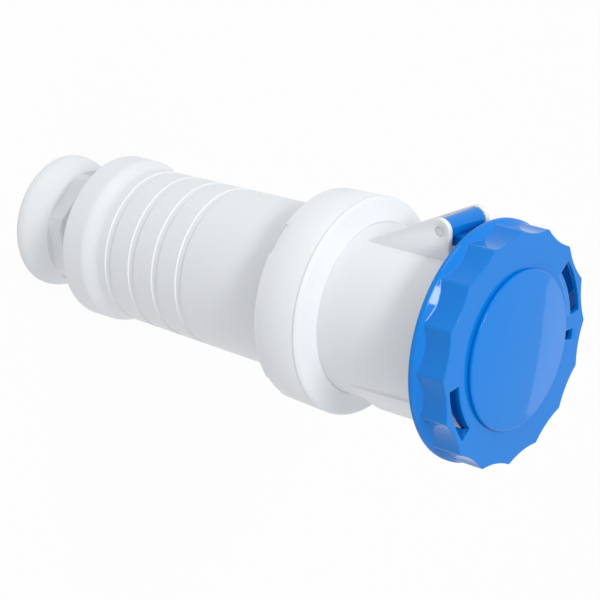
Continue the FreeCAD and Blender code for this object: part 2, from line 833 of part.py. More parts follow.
def carrier_plate():
    """Rear plate that keeps the contact collars in the carrier."""
    plate = tube(x_plate_rear, x_carrier_rear, plate_r)
    for name, (pin, tube_r, collar, place) in contact_places().items():
        hole = tube(x_plate_rear - 1, x_carrier_rear + 1, terminal_radius(tube_r) + RUN)
        plate = plate.cut(moved(hole, y=place[0], z=place[1]))
    for angle in plate_screw_angles():
        y, z = off_axis(plate_screw_circle_r, angle)
        plate = plate.cut(moved(tube(x_plate_rear - 1, x_carrier_rear + 1, screw_r + RUN), y=y, z=z))
    return plate


def pan_screw(x_seat, shank):
    """Slotted screw, head to the rear of x_seat and shank forward of it."""
    x_top = x_seat - screw_head_length
    screw = turned([
        (x_top, 0.0),
        (x_top, screw_head_r),
        (x_seat, screw_head_r),
        (x_seat, screw_r - PRESS),
        (x_seat + shank, screw_r - PRESS),
        (x_seat + shank, 0.0),
    ])
    slot = Part.makeBox(screw_head_length * 0.5, 2 * screw_head_r + 2, screw_slot,
                        V(x_top, -screw_head_r - 1, -screw_slot / 2))
    return screw.cut(slot)


def carrier_screws():
    """Screws that fasten the carrier's flange to the shelf of the sleeve."""
    screw = pan_screw(x_carrier_flange, carrier_flange_length + screw_grip - screw_tip_gap)
    places = [off_axis(carrier_screw_circle_r, a) for a in carrier_screw_angles()]
    return Part.makeCompound([moved(screw, y=y, z=z) for y, z in places])


def plate_screws():
    """Screws that fasten the rear plate to the carrier."""
    screw = pan_screw(x_plate_rear, plate_thickness + screw_grip - screw_tip_gap)
    places = [off_axis(plate_screw_circle_r, a) for a in plate_screw_angles()]
    return Part.makeCompound([moved(screw, y=y, z=z) for y, z in places])


pieces = {
    "socket_housing": socket_housing(),
    "sleeve_shelf": sleeve_shelf(),
    "contact_carrier": contact_carrier(),
    "carrier_flange": carrier_flange(),
    "phase_contact": contact("phase_contact"),
    "neutral_contact": contact("neutral_contact"),
    "earth_contact": contact("earth_contact"),
    "pilot_contact": contact("pilot_contact"),
    "contact_springs": contact_springs(),
    "terminal_screws": terminal_screws(),
    "carrier_plate": carrier_plate(),
    "carrier_screws": carrier_screws(),
    "plate_screws": plate_screws(),
    "housing_seal": housing_seal(),
    "hinge_pin": hinge_pin(),
    "lid_disc": lid_disc(),
    "lid_seal": lid_seal(),
    "lock_ring": lock_ring(),
    "union_ring": union_ring(),
    "handle": handle(),
    "gland_seal": gland_seal(),
    "friction_ring": friction_ring(),
    "gland_nut": gland_nut(),
}

os.makedirs("parts", exist_ok=True)
for node, shape in pieces.items():
    upright = shape.copy()
    upright.rotate(ORIGIN, V(0, 1, 0), -90)
    upright.translate(V(0, 0, -x_nut_rear))
    upright.exportStep("parts/" + node + ".step")
    print(node, len(upright.Solids), "solids", round(upright.Volume), "mm3", upright.isValid())
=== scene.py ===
import bmesh
import bpy
import math
from bpy.props import FloatProperty, FloatVectorProperty, IntProperty, PointerProperty
from mathutils import Matrix, Vector


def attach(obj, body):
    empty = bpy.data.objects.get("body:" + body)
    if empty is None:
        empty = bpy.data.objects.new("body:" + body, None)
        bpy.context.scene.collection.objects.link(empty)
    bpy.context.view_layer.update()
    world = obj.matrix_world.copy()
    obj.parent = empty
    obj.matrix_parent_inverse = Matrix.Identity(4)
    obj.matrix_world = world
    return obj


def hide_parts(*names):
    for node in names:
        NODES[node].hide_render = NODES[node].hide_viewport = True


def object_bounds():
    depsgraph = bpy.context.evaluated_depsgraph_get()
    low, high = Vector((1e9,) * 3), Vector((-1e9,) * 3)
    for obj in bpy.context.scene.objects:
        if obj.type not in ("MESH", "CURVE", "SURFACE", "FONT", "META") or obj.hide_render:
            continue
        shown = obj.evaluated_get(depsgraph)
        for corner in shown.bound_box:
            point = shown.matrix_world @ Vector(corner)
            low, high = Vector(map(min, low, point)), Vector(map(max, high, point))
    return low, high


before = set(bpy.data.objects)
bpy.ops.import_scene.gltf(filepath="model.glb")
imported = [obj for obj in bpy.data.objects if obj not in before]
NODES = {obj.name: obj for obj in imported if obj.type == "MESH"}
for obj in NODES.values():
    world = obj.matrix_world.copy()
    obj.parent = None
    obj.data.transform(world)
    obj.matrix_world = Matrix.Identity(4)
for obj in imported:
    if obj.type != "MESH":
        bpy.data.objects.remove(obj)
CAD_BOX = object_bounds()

bl_info = {
    "name": "Industrial Cable Socket",
    "version": (1, 0, 0),
    "blender": (4, 5, 0),
    "location": "View3D > Sidebar > Cable Socket",
    "description": "Builds the visible pieces of an industrial cable socket on its CAD frame",
    "category": "Mesh",
}

# The connector stands on its gland nut. Stations are metres along its axis from the rim of the
# lid's centre disc, negative towards the gland. Heights are measured from the axis towards the
# hinge, which is on the -X side, and angles are degrees round the axis from the hinge towards +Y.
DOME_RISE = 0.0013
RIM_Z = CAD_BOX[1].z - DOME_RISE
FULL_TURN = 360.0


# Sizes and colours that a user would change


def length(name, description, default):
    """Length property in metres."""
    return FloatProperty(name=name, description=description, default=default, min=0.0,
                         unit="LENGTH", subtype="DISTANCE", precision=5)


def colour(name, description, red, green, blue):
    """Colour property written as the screen shows it, from 0 to 255."""
    return FloatVectorProperty(name=name, description=description, subtype="COLOR", size=3,
                               min=0.0, max=1.0, default=(red / 255, green / 255, blue / 255))


class LidSizes(bpy.types.PropertyGroup):
    """Sizes of the hinged lid and its bayonet ring."""

    disc_radius: length("Disc radius", "Radius of the raised centre disc", 0.0429)
    ring_radius: length("Flange radius", "Radius of the ring's round rear flange", 0.065)
    valley_radius: length("Valley radius", "Distance of the flutes' floors from the axis", 0.061)
    flute_radius: length("Flute radius", "Radius of the cylinder that each flute follows", 0.047)
    crest_radius: length("Crest radius", "Radius that rounds the crests between flutes", 0.0638)
    flutes: IntProperty(name="Flutes", description="Number of grip flutes", default=16,
                        min=6, max=40)
    edge: length("Edge rounding", "Rounding of the ring's outer edges", 0.0007)


class BodySizes(bpy.types.PropertyGroup):
    """Sizes of the housing, union ring, handle and gland."""

    sleeve_radius: length("Sleeve radius", "Outer radius of the front sleeve", 0.0472)
    pad_radius: length("Keyway pad radius", "Radius of the raised pad over the keyway", 0.051)
    union_radius: length("Union radius", "Radius of the union ring's front edge", 0.0605)
    groove_depth: length("Groove depth", "Depth of the grooves in the handle", 0.0007)
    thread_pitch: length("Thread pitch", "Distance between the turns of the neck thread", 0.002)
    flat_radius: length("Gland flats", "Distance of the gland nut's flats from the axis", 0.03005)
    bell_radius: length("Bell radius", "Largest radius of the gland nut's bell", 0.039)


class Finishes(bpy.types.PropertyGroup):
    """Colours of the mouldings and metals."""

    grey: colour("Body grey", "Grey of the housing, union ring, handle and gland", 226, 229, 232)
    blue: colour("Lid blue", "Blue of the hinged lid and bayonet ring", 0, 119, 208)
    insert: colour("Insert", "Anthracite of the contact carrier", 52, 55, 60)
    brass: colour("Contact brass", "Brass of the contact tubes", 205, 168, 96)
    rubber: colour("Rubber", "Black of the seals", 34, 35, 37)
    steel: colour("Steel", "Zinc-plated steel of the screws and springs", 206, 208, 211)


# Finishes


class Nodes:
    """Node tree that is built node by node."""

    def __init__(self, tree):
        self.tree = tree

    def put(self, value, socket):
        """Links a socket, or sets a plain value."""
        if isinstance(value, bpy.types.NodeSocket):
            self.tree.links.new(value, socket)
        else:
            socket.default_value = value

    def fill(self, node, **values):
        """Links or sets inputs, named with underscores for spaces, and returns the node."""
        for name, value in values.items():
            self.put(value, node.inputs[name.replace("_", " ")])
        return node

    def node(self, kind, **values):
        return self.fill(self.tree.nodes.new(kind), **values)

    def math(self, operation, *values):
        made = self.node("ShaderNodeMath")
        made.operation = operation
        for value, socket in zip(values, made.inputs):
            self.put(value, socket)
        return made.outputs[0]


def linear(screen):
    """Linear RGBA of a colour written as the screen shows it."""
    def channel(v):
        return v / 12.92 if v <= 0.04045 else ((v + 0.055) / 1.055) ** 2.4
    return tuple(channel(v) for v in screen) + (1.0,)


def shaded(rgba, factor):
    """Colour made lighter or darker by a factor."""
    return tuple(min(1.0, v * factor) for v in rgba[:3]) + (1.0,)


class Finish(Nodes):
    """Builder for one procedural material on Object coordinates."""

    def __init__(self, name):
        self.material = bpy.data.materials.new(name)
        self.material.use_nodes = True
        super().__init__(self.material.node_tree)
        self.tree.nodes.clear()
        self.shader = self.node("ShaderNodeBsdfPrincipled")
        self.node("ShaderNodeOutputMaterial", Surface=self.shader.outputs["BSDF"])
        self.coordinates = self.node("ShaderNodeTexCoord").outputs["Object"]

    def noise(self, scale, detail, roughness, stretch=(1.0, 1.0, 1.0)):
        """Noise pattern of a scale per metre, which can be stretched."""
        source = self.node("ShaderNodeMapping", Vector=self.coordinates, Scale=stretch)
        return self.node("ShaderNodeTexNoise", Vector=source.outputs["Vector"], Scale=scale,
                         Detail=detail, Roughness=roughness).outputs["Fac"]

    def bump(self, height, strength, distance, **after):
        """Bump normal from a pattern, on top of another one given as Normal."""
        return self.node("ShaderNodeBump", Height=height, Strength=strength, Distance=distance,
                         **after).outputs["Normal"]

    def tint(self, fac, rgba, low, high):
        """Sets the colour, which a pattern makes darker or lighter between two factors."""
        # a colour mix keeps its colour sockets after the number and vector ones
        mix = self.node("ShaderNodeMix")
        mix.data_type = "RGBA"
        for number, value in ((0, fac), (6, shaded(rgba, low)), (7, shaded(rgba, high))):
            self.put(value, mix.inputs[number])
        self.feed(Base_Color=mix.outputs[2])

    def roughen(self, fac, low, high):
        """Sets the roughness, which a pattern spreads between two numbers."""
        # a noise pattern stays mostly between 0.3 and 0.7
        remap = self.node("ShaderNodeMapRange", Value=fac, From_Min=0.3, From_Max=0.7,
                          To_Min=low, To_Max=high)
        self.feed(Roughness=remap.outputs["Result"])

    def feed(self, **values):
        self.fill(self.shader, **values)


def satin_plastic(name, rgba, roughness=(0.36, 0.44), specular=0.45, grain=0.05):
    """Moulded plastic with a fine spark-eroded grain and faint flow marks."""
    finish = Finish(name)
    flow = finish.noise(9.0, 2.0, 0.5, stretch=(1.0, 1.0, 0.35))
    finish.tint(flow, rgba, 0.975, 1.02)
    fine = finish.noise(900.0, 2.0, 0.6)
    finish.roughen(fine, *roughness)
    ripple = finish.bump(finish.noise(55.0, 1.0, 0.4), 0.10, 0.00015)
    finish.feed(Normal=finish.bump(fine, grain, 0.00008, Normal=ripple), IOR=1.5,
                Specular_IOR_Level=specular)
    return finish.material


def gloss_plastic(name, rgba):
    """Polished moulding with a slight orange peel."""
    finish = Finish(name)
    flow = finish.noise(14.0, 2.0, 0.5)
    finish.tint(flow, rgba, 0.94, 1.05)
    fine = finish.noise(260.0, 2.0, 0.5)
    finish.roughen(fine, 0.02, 0.05)
    peel = finish.bump(finish.noise(45.0, 1.0, 0.3), 0.22, 0.0002)
    finish.feed(Normal=finish.bump(fine, 0.05, 0.0001, Normal=peel), IOR=1.5,
                Specular_IOR_Level=0.23)
    return finish.material


def turned_metal(name, rgba, roughness):
    """Bare turned metal with fine tool lines and a faint tarnish."""
    finish = Finish(name)
    tarnish = finish.noise(120.0, 4.0, 0.6)
    finish.tint(tarnish, rgba, 0.8, 1.08)
    lines = finish.noise(60.0, 2.0, 0.5, stretch=(1.0, 1.0, 60.0))
    finish.roughen(lines, roughness * 0.8, roughness * 1.3)
    finish.feed(Normal=finish.bump(lines, 0.12, 0.00005), Metallic=1.0)
    return finish.material


def soft_rubber(name, rgba):
    """Matt moulded rubber with a bloom of fine specks."""
    finish = Finish(name)
    bloom = finish.noise(240.0, 5.0, 0.7)
    finish.tint(bloom, rgba, 0.8, 1.6)
    finish.roughen(bloom, 0.62, 0.82)
    grain = finish.noise(1400.0, 2.0, 0.6)
    finish.feed(Normal=finish.bump(grain, 0.15, 0.00008), Specular_IOR_Level=0.35)
    return finish.material


def finish_of(kind):
    """Material of one of the finishes, made when it is first asked for."""
    found = bpy.data.materials.get(kind)
    if found:
        return found
    tints = bpy.context.scene.socket_finishes
    makers = {
        "body_plastic": lambda: satin_plastic(kind, linear(tints.grey)),
        "lid_plastic": lambda: gloss_plastic(kind, linear(tints.blue)),
        "insert_plastic": lambda: satin_plastic(kind, linear(tints.insert), (0.42, 0.55),
                                                0.4, 0.12),
        "contact_brass": lambda: turned_metal(kind, linear(tints.brass), 0.28),
        "seal_rubber": lambda: soft_rubber(kind, linear(tints.rubber)),
        "plated_steel": lambda: turned_metal(kind, linear(tints.steel), 0.32),
    }
    return makers[kind]()


# Meshes

WELD = 1e-7
FLAT_BAND = 0.00012
BLOCK_EDGE = 0.0004


def seat(station, across, height):
    """Point at a station, a distance towards +Y and a height towards the hinge."""
    return Vector((-height, across, RIM_Z + station))


def on_axis(station, radius, angle):
    """Point at a station, radius and angle about the connector's axis."""
    turn = math.radians(angle)
    return seat(station, radius * math.sin(turn), radius * math.cos(turn))


def even(count, exact=()):
    """Evenly spread angles, the nearest ones moved onto the exact ones given."""
    angles = [FULL_TURN * i / count for i in range(count)]
    for bound in exact:
        bound %= FULL_TURN
        near = min(range(count), key=lambda i: abs(angles[i] - bound))
        angles[near] = bound
    return angles


def arc(centre, radius, start, end, steps):
    """Profile points on an arc; its angles run from forward to outward."""
    points = []
    for k in range(steps + 1):
        a = math.radians(start + (end - start) * k / steps)
        points.append((centre[0] + radius * math.cos(a), centre[1] + radius * math.sin(a)))
    return points


def rounded(corners, steps=5):
    """Closed profile from (station, radius, rounding) corners.

    Each rounded corner becomes an arc with a narrow band either side, which keeps flat faces flat.
    """
    points = []
    for i, corner in enumerate(corners):
        here = Vector(corner[:2])
        rounding = corner[2] if len(corner) > 2 else 0.0
        back = Vector(corners[i - 1][:2]) - here
        ahead = Vector(corners[(i + 1) % len(corners)][:2]) - here
        half = back.angle(ahead) / 2 if rounding else 0.0
        if not rounding or half > math.radians(89.5):
            points.append(here)
            continue
        reach = min(rounding / math.tan(half), 0.45 * back.length, 0.45 * ahead.length)
        back.normalize()
        ahead.normalize()
        centre = here + (back + ahead).normalized() * reach / math.cos(half)
        start = here + back * reach - centre
        end = here + ahead * reach - centre
        swing = start.angle(end)
        points.append(here + back * (reach + FLAT_BAND))
        for k in range(steps + 1):
            t = k / steps
            points.append(centre + (math.sin((1 - t) * swing) * start + math.sin(t * swing) * end)
                          / math.sin(swing))
        points.append(here + ahead * (reach + FLAT_BAND))
    return [tuple(p) for p in points]


def strip(bm, one, two, left_out=lambda j: False):
    """Adds the faces between two closed loops of vertices."""
    for j in range(len(one)):
        if not left_out(j):
            k = (j + 1) % len(one)
            bm.faces.new((one[j], one[k], two[k], two[j]))


def turn(bm, profile, angles, place=on_axis, holes=()):
    """Adds a closed profile turned about an axis and returns its vertices, angle by angle.

    holes are the (angle, profile) places that get no face.
    """
    grid = [[bm.verts.new(place(s, r, a)) for s, r in profile] for a in angles]
    for i, here in enumerate(grid):
        strip(bm, here, grid[(i + 1) % len(grid)], lambda j: (i, j) in holes)
    return grid


def ease(bm, edges, width, segments=2):
    """Rounds edges."""
    bmesh.ops.bevel(bm, geom=list(edges), offset=width, segments=segments, profile=0.5,
                    affect="EDGES")


def ring_block(bm, stations, radii, middle, half_angle):
    """Adds a block that is part of a ring, with eased edges."""
    steps = 12
    low, high = stations
    inner, outer = radii
    before = set(bm.faces)
    rows = []
    for k in range(steps + 1):
        a = middle - half_angle + 2 * half_angle * k / steps
        rows.append([bm.verts.new(on_axis(s, r, a)) for s, r in
                     ((low, inner), (low, outer), (high, outer), (high, inner))])
    for one, two in zip(rows, rows[1:]):
        strip(bm, one, two)
    bm.faces.new(rows[0])
    bm.faces.new(rows[-1])
    faces = [f for f in bm.faces if f not in before]
    bmesh.ops.recalc_face_normals(bm, faces=faces)
    edges = {e for f in faces for e in f.edges if e.calc_face_angle(0.0) > math.radians(40)}
    ease(bm, edges, BLOCK_EDGE)


def clamped(value):
    """Number kept between 0 and 1."""
    return max(0.0, min(1.0, value))


def smooth_max(a, b, width):
    """Larger of two numbers, eased where they are nearly equal."""
    share = clamped(0.5 + 0.5 * (a - b) / width)
    return b + (a - b) * share + width * share * (1 - share)


def smooth_min(a, b, width):
    """Smaller of two numbers, eased where they are nearly equal."""
    return -smooth_max(-a, -b, width)


def mesh_from(bm, name):
    """Mesh with a bmesh's faces; the bmesh is freed."""
    mesh = bpy.data.meshes.new(name)
    bm.to_mesh(mesh)
    bm.free()
    return mesh


def linked(name, data):
    """New object in the scene."""
    obj = bpy.data.objects.new(name, data)
    bpy.context.scene.collection.objects.link(obj)
    return obj


def piece(name, bm, kind, body, stands_for=()):
    """Makes an object from a bmesh, finished and riding on its body."""
    bmesh.ops.remove_doubles(bm, verts=bm.verts, dist=WELD)
    bmesh.ops.recalc_face_normals(bm, faces=bm.faces)
    dressed(linked(name, mesh_from(bm, name)), kind, body, stands_for)


def dressed(obj, kind, body, stands_for=()):
    """Gives a finished object its material and body, and hides the CAD nodes that it stands for."""
    obj.data.materials.clear()
    obj.data.materials.append(finish_of(kind))
    obj.data.shade_smooth()
    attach(obj, body)
    if stands_for:
        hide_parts(*stands_for)


# Geometry Nodes


class NodeShape(Nodes):
    """Builder for a Geometry Nodes tree with named number inputs."""

    def __init__(self, name):
        super().__init__(bpy.data.node_groups.new(name, "GeometryNodeTree"))
        for way in ("INPUT", "OUTPUT"):
            self.tree.interface.new_socket("Geometry", in_out=way,
                                           socket_type="NodeSocketGeometry")
        self.source = self.node("NodeGroupInput")
        self.target = self.node("NodeGroupOutput")
        self.names = {}

    def number(self, name):
        """Adds a named input and returns its socket."""
        item = self.tree.interface.new_socket(name, in_out="INPUT", socket_type="NodeSocketFloat")
        self.names[name] = item.identifier
        return self.source.outputs[name]

    def end(self, geometry, kind):
        """Closes the tree with real instances and the finish."""
        real = self.node("GeometryNodeRealizeInstances", Geometry=geometry)
        paint = self.node("GeometryNodeSetMaterial", Geometry=real.outputs["Geometry"],
                          Material=finish_of(kind))
        self.put(paint.outputs["Geometry"], self.target.inputs["Geometry"])

    def applied(self, obj, values):
        """Plain mesh that the tree makes from an object with the given inputs."""
        modifier = obj.modifiers.new("Shape", "NODES")
        modifier.node_group = self.tree
        for name, value in values.items():
            modifier[self.names[name]] = value
        depsgraph = bpy.context.evaluated_depsgraph_get()
        mesh = bpy.data.meshes.new_from_object(obj.evaluated_get(depsgraph), depsgraph=depsgraph)
        obj.modifiers.remove(modifier)
        return mesh


def flute_shape():
    """Tree that pushes the wall of a round ring in to follow evenly spaced flutes."""
    shape = NodeShape("Fluted grip")
    flutes = shape.number("Flutes")
    valley = shape.number("Valley radius")
    cylinder = shape.number("Flute radius")
    crest = shape.number("Crest radius")
    blank = shape.number("Blank radius")
    fixed = shape.number("Fixed radius")
    full = shape.number("Full radius")
    bevel_z = shape.number("Bevel start")
    bevel_r = shape.number("Bevel start radius")
    slope = shape.number("Bevel slope")
    softness = shape.number("Softness")
    place = shape.node("GeometryNodeInputPosition").outputs[0]
    x, y, z = shape.node("ShaderNodeSeparateXYZ", Vector=place).outputs
    op = shape.math
    radius = op("SQRT", op("ADD", op("MULTIPLY", x, x), op("MULTIPLY", y, y)))
    turns = op("DIVIDE", op("ARCTAN2", y, x), 2 * math.pi)
    across = op("SUBTRACT", op("FRACT", op("MULTIPLY", turns, flutes)), 0.5)
    angle = op("DIVIDE", op("MULTIPLY", across, 2 * math.pi), flutes)
    # each flute's floor is the near side of a cylinder that stands outside the ring
    centre = op("ADD", valley, cylinder)
    off = op("MULTIPLY", centre, op("SINE", angle))
    root = op("SQRT", op("SUBTRACT", op("MULTIPLY", cylinder, cylinder), op("MULTIPLY", off, off)))
    floor = op("SUBTRACT", op("MULTIPLY", centre, op("COSINE", angle)), root)
    wall = op("SMOOTH_MIN", floor, crest, softness)
    # behind the flutes a cone runs out to the round flange
    behind = op("SUBTRACT", bevel_z, z)
    cone = op("ADD", bevel_r, op("MULTIPLY", behind, slope))
    wall = op("SMOOTH_MAX", wall, cone, softness)
    wall = op("MINIMUM", wall, blank)
    # the push fades to nothing between the outer wall and the bore
    weight = op("DIVIDE", op("SUBTRACT", radius, fixed), op("SUBTRACT", full, fixed))
    weight = op("MAXIMUM", op("MINIMUM", weight, 1.0), 0.0)
    push = op("MULTIPLY", weight, op("SUBTRACT", blank, wall))
    scale = op("DIVIDE", op("SUBTRACT", radius, push), radius)
    joined = shape.node("ShaderNodeCombineXYZ", X=op("MULTIPLY", x, scale),
                        Y=op("MULTIPLY", y, scale), Z=z)
    moved = shape.node("GeometryNodeSetPosition", Geometry=shape.source.outputs["Geometry"],
                       Position=joined.outputs[0])
    shape.end(moved.outputs["Geometry"], "lid_plastic")
    return shape


def thread_shape():
    """Tree that winds a ridge of a thread along the axis."""
    shape = NodeShape("Screw thread")
    radius = shape.number("Radius")
    spiral = shape.node("GeometryNodeCurveSpiral", Resolution=96, Rotations=shape.number("Turns"),
                        Start_Radius=radius, End_Radius=radius, Height=shape.number("Length"))
    section = shape.node("GeometryNodeCurvePrimitiveCircle", Resolution=6,
                         Radius=shape.number("Ridge"))
    swept = shape.node("GeometryNodeCurveToMesh", Curve=spiral.outputs["Curve"],
                       Profile_Curve=section.outputs["Curve"], Fill_Caps=True)
    where = shape.node("ShaderNodeCombineXYZ", Z=shape.number("Start"))
    laid = shape.node("GeometryNodeTransform", Geometry=swept.outputs["Mesh"],
                      Translation=where.outputs[0])
    shape.end(laid.outputs["Geometry"], "body_plastic")
    return shape


# Lid

WINDOW_ANGLES = (66.3, 246.3)
WINDOW_HALF_ANGLE = 16.5
WINDOW_RADII = (0.0502, 0.058)
STOP_HALF_ANGLE = 0.9
NOTCH_ANGLE = 95.5
NOTCH_HALF_ANGLE = 3.2
NOTCH_RADII = (0.0466, 0.053)
RING_FRONT = -0.0025
RING_INSIDE = -0.0055
RING_REAR = -0.0234
RING_BORE = 0.0585
RING_HOLE = 0.0415
RING_LUG_STATIONS = (-0.0211, -0.0176)
RING_LUG_RADII = (0.0512, RING_BORE + 0.0006)
FLANGE_FRONT = -0.0205
BEVEL_FRONT = -0.0165
DISC_EDGE = 0.0009
DISC_NECK_FRONT = -0.0021
DISC_NECK_RADIUS = 0.0412
DISC_FLANGE_FRONT = -0.0058
DISC_FLANGE_RADIUS = 0.0495
DISC_REAR = -0.0104
DISC_HOLLOW = (-0.0026, 0.0399)
SEAL_GROOVE_FLOOR = -0.0082
SEAL_GROOVE_RADII = (0.0425, 0.0483)


def ring_openings():
    """Angular and radial bounds of the openings in the ring's front wall."""
    bounds = [(a - WINDOW_HALF_ANGLE, a + WINDOW_HALF_ANGLE, *WINDOW_RADII) for a in WINDOW_ANGLES]
    return bounds + [(NOTCH_ANGLE - NOTCH_HALF_ANGLE, NOTCH_ANGLE + NOTCH_HALF_ANGLE, *NOTCH_RADII)]


def blank_ring(bm, size):
    """Round ring with its windows, ready for the flutes."""
    openings = ring_openings()
    radii = sorted({r for hole in openings for r in hole[2:]})
    outer = size.ring_radius
    # rows along the outer wall, closest where the bevel runs out
    wall = [FLANGE_FRONT + 0.00025 * k for k in range(1, 36)]
    wall += [wall[-1] + 0.0008 * k for k in range(1, 11)]
    corners = [(RING_FRONT, RING_HOLE, 0.0004), *((RING_FRONT, r) for r in radii),
               (RING_FRONT, RING_BORE), (RING_FRONT, outer, size.edge),
               *((s, outer) for s in reversed(wall) if s < RING_FRONT - 0.0012),
               (FLANGE_FRONT, outer), (RING_REAR, outer, size.edge),
               (RING_REAR, RING_BORE, 0.0003), (RING_INSIDE, RING_BORE),
               *((RING_INSIDE, r) for r in reversed(radii)), (RING_INSIDE, RING_HOLE, 0.0003)]
    profile = rounded(corners)
    angles = even(384, [a for hole in openings for a in hole[:2]])
    count = len(angles)

    def row(station, radius):
        return min(range(len(profile)),
                   key=lambda j: abs(profile[j][0] - station) + abs(profile[j][1] - radius))

    def column(angle):
        return min(range(count), key=lambda i: abs(angles[i] - angle))

    # the openings: faces left out of the front wall, and the walls between its two sides
    cells = set()
    walls = []
    for start, end, inner, outer_r in openings:
        i0, i1 = column(start), column(end)
        f0, f1 = row(RING_FRONT, inner), row(RING_FRONT, outer_r)
        b1, b0 = row(RING_INSIDE, outer_r), row(RING_INSIDE, inner)
        for i in range(i0, i1):
            cells |= {(i, j) for j in range(f0, f1)} | {(i, j) for j in range(b1, b0)}
            walls += [((i, f0), (i + 1, f0), (i + 1, b0), (i, b0)),
                      ((i, f1), (i + 1, f1), (i + 1, b1), (i, b1))]
        for i in (i0, i1):
            front = list(range(f0, f1 + 1))
            back = list(range(b0, b1 - 1, -1))
            for (p, q), (u, v) in zip(zip(front, front[1:]), zip(back, back[1:])):
                walls.append(((i, p), (i, q), (i, v), (i, u)))
    grid = turn(bm, profile, angles, holes=cells)
    for quad in walls:
        bm.faces.new([grid[i % count][j] for i, j in quad])


class SOCKET_OT_lock_ring(bpy.types.Operator):
    """Makes the fluted bayonet ring with its windows and inner lugs"""

    bl_idname = "cable_socket.lock_ring"
    bl_label = "Lock Ring"

    def execute(self, context):
        size = context.scene.socket_lid
        bm = bmesh.new()
        blank_ring(bm, size)
        bmesh.ops.recalc_face_normals(bm, faces=bm.faces)
        sharp = [e for e in bm.edges if e.calc_face_angle(0.0) > math.radians(50)]
        ease(bm, sharp, 0.00022)
        blank = linked("ring_blank", mesh_from(bm, "ring_blank"))
        fluted = flute_shape().applied(blank, {
            "Flutes": float(size.flutes), "Valley radius": size.valley_radius,
            "Flute radius": size.flute_radius, "Crest radius": size.crest_radius,
            "Blank radius": size.ring_radius, "Fixed radius": RING_BORE,
            "Full radius": size.ring_radius - size.edge - 0.0003,
            "Bevel start": RIM_Z + BEVEL_FRONT,
            "Bevel start radius": size.valley_radius - size.edge,
            "Bevel slope": (size.ring_radius - size.valley_radius + size.edge)
            / (BEVEL_FRONT - FLANGE_FRONT),
            "Softness": 0.0005,
        })
        bpy.data.objects.remove(blank)
        bm = bmesh.new()
        bm.from_mesh(fluted)
        for angle in WINDOW_ANGLES:
            ring_block(bm, RING_LUG_STATIONS, RING_LUG_RADII, angle, WINDOW_HALF_ANGLE)
            ring_block(bm, (RING_LUG_STATIONS[0], RING_INSIDE + 0.0006), RING_LUG_RADII,
                       angle - WINDOW_HALF_ANGLE - STOP_HALF_ANGLE, STOP_HALF_ANGLE)
        piece("fluted_lock_ring", bm, "lid_plastic", "ring", ["lock_ring"])
        return {"FINISHED"}


# Hinge: the pin's station and height, and the lid's arm and barrel on it
PIN_STATION = -0.0421
PIN_HEIGHT = 0.0586
PIN_RADIUS = 0.0025
PIN_HALF = 0.0176
ARM_HALF_WIDTH = 0.011
ARM_HEIGHTS = (0.0503, 0.0563)
ARM_ROOT_HEIGHTS = (0.0485, 0.0513)
BARREL_HALF = 0.0146
BARREL_RADIUS = 0.0062
BARREL_BORE = 0.00258


def about_pin(along, radius, angle):
    """Point about the hinge pin; along runs towards +Y."""
    a = math.radians(angle)
    return seat(PIN_STATION + radius * math.sin(a), along, PIN_HEIGHT + radius * math.cos(a))


def eased_box(bm, low, high, edge):
    """Adds a box with rounded edges; corners are (station, y, height above the axis)."""
    made = bmesh.ops.create_cube(bm, size=1.0)["verts"]
    for v in made:
        v.co = seat(*(a + (c + 0.5) * (b - a) for a, b, c in zip(low, high, v.co)))
    ease(bm, {e for v in made for e in v.link_edges}, edge, 3)


class SOCKET_OT_lid_disc(bpy.types.Operator):
    """Makes the domed centre disc with its neck, flange, hinge arm and barrel"""

    bl_idname = "cable_socket.lid_disc"
    bl_label = "Lid Disc"

    def execute(self, context):
        size = context.scene.socket_lid
        edge_r = size.disc_radius - DISC_EDGE
        dome_r = (edge_r ** 2 + DOME_RISE ** 2) / (2 * DOME_RISE)
        dome = [(DOME_RISE - dome_r + math.sqrt(dome_r ** 2 - r ** 2), r)
                for r in (edge_r * k / 18 for k in range(18))]
        hollow, hollow_r = DISC_HOLLOW
        seal_inner, seal_outer = SEAL_GROOVE_RADII
        corners = dome + [
            (0.0, size.disc_radius, DISC_EDGE), (DISC_NECK_FRONT, size.disc_radius, 0.0002),
            (DISC_NECK_FRONT, DISC_NECK_RADIUS), (DISC_FLANGE_FRONT, DISC_NECK_RADIUS),
            (DISC_FLANGE_FRONT, DISC_FLANGE_RADIUS, 0.0003),
            (DISC_REAR, DISC_FLANGE_RADIUS, 0.0003),
            (DISC_REAR, seal_outer), (SEAL_GROOVE_FLOOR, seal_outer),
            (SEAL_GROOVE_FLOOR, seal_inner), (DISC_REAR, seal_inner),
            (DISC_REAR, hollow_r, 0.0003), (hollow, hollow_r, 0.0008), (hollow, 0.0),
        ]
        bm = bmesh.new()
        turn(bm, rounded(corners), even(192))
        for low, (bottom, top), edge in ((PIN_STATION, ARM_HEIGHTS, 0.0008),
                                         (DISC_REAR, ARM_ROOT_HEIGHTS, 0.0004)):
            eased_box(bm, (low, -ARM_HALF_WIDTH, bottom),
                      (DISC_FLANGE_FRONT, ARM_HALF_WIDTH, top), edge)
        barrel = [(-BARREL_HALF, BARREL_BORE, 0.0002), (-BARREL_HALF, BARREL_RADIUS, 0.0005),
                  (BARREL_HALF, BARREL_RADIUS, 0.0005), (BARREL_HALF, BARREL_BORE, 0.0002)]
        turn(bm, rounded(barrel, 4), even(72), about_pin)
        piece("domed_lid", bm, "lid_plastic", "lid", ["lid_disc"])
        return {"FINISHED"}


# Housing

